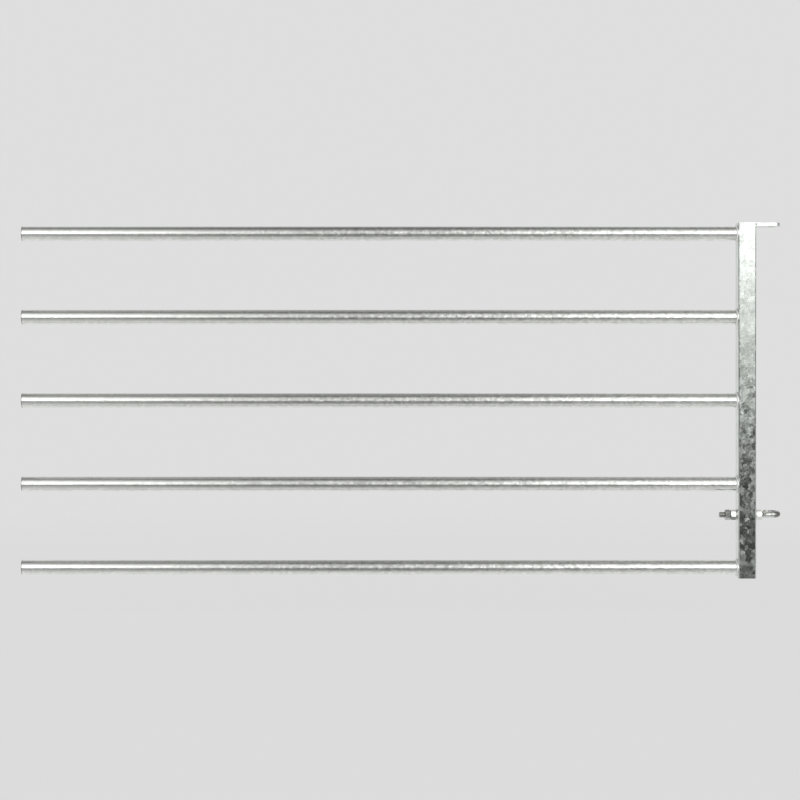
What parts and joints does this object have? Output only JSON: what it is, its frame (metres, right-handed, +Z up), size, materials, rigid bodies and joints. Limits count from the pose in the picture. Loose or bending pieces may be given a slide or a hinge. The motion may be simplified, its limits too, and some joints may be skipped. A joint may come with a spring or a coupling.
{
  "type": "cattle fence panel",
  "caption": "Galvanised cattle fence panel half with open round rails on a square hinge upright, a top hinge lug and an adjustable rolled-eye hinge bolt.",
  "frame": {"origin": "on the vertical hinge axis, at the underside of the top hinge lug", "axes": "+X from the rails towards the hinge post, -X along the rails, -Y the pictured front, +Z up"},
  "size_m": [2.5138, 0.0608, 1.1766],
  "materials": {
    "hot_dip_upright": "hot-dip galvanised steel with zinc spangle",
    "hot_dip_rail": "bright galvanised steel tube",
    "hot_dip_plate": "bright hot-dip galvanised steel plate",
    "weld_bead": "galvanised weld bead",
    "bolt_zinc": "galvanised threaded steel"
  },
  "bodies": {
    "frame": {"upright": "hot_dip_upright", "top_cap": "hot_dip_upright", "foot_cap": "hot_dip_upright", "rail_1": "hot_dip_rail", "rail_2": "hot_dip_rail", "rail_3": "hot_dip_rail", "rail_4": "hot_dip_rail", "rail_5": "hot_dip_rail", "rail_weld_1": "weld_bead", "rail_weld_2": "weld_bead", "rail_weld_3": "weld_bead", "rail_weld_4": "weld_bead", "rail_weld_5": "weld_bead", "hinge_lug": "hot_dip_plate", "lug_weld_upper": "weld_bead", "lug_weld_lower": "weld_bead", "bolt_sleeve": "hot_dip_plate", "hinge_side_washer": "bolt_zinc", "rail_side_washer": "bolt_zinc"},
    "eye_bolt": {"eye_bolt": "bolt_zinc"},
    "hinge_side_nut": {"hinge_side_nut": "bolt_zinc"},
    "rail_side_nut": {"rail_side_nut": "bolt_zinc"},
    "lock_nut": {"lock_nut": "bolt_zinc"}
  },
  "joints": [
    {"name": "rail_side_nut_turn", "type": "hinge", "parent": "frame", "child": "rail_side_nut", "pos_m": [-0.1258, 0, -0.955], "axis": [-1, 0, 0], "range_deg": [0, 2592]},
    {"name": "hinge_side_nut_turn", "type": "hinge", "parent": "frame", "child": "hinge_side_nut", "pos_m": [-0.0406, 0, -0.955], "axis": [-1, 0, 0], "range_deg": [0, 2592]},
    {"name": "lock_nut_turn", "type": "hinge", "parent": "frame", "child": "lock_nut", "pos_m": [-0.1441, 0, -0.955], "axis": [-1, 0, 0], "range_deg": [0, 2592]},
    {"name": "eye_bolt_slide", "type": "slide", "parent": "frame", "child": "eye_bolt", "axis": [1, 0, 0], "range_m": [0, 0.018]}
  ],
  "couplings": [
    {"joint": "hinge_side_nut_turn", "follows": "eye_bolt_slide", "rad_per_m": 2513.3},
    {"joint": "rail_side_nut_turn", "follows": "eye_bolt_slide", "rad_per_m": 2513.3},
    {"joint": "lock_nut_turn", "follows": "eye_bolt_slide", "rad_per_m": 2513.3}
  ]
}
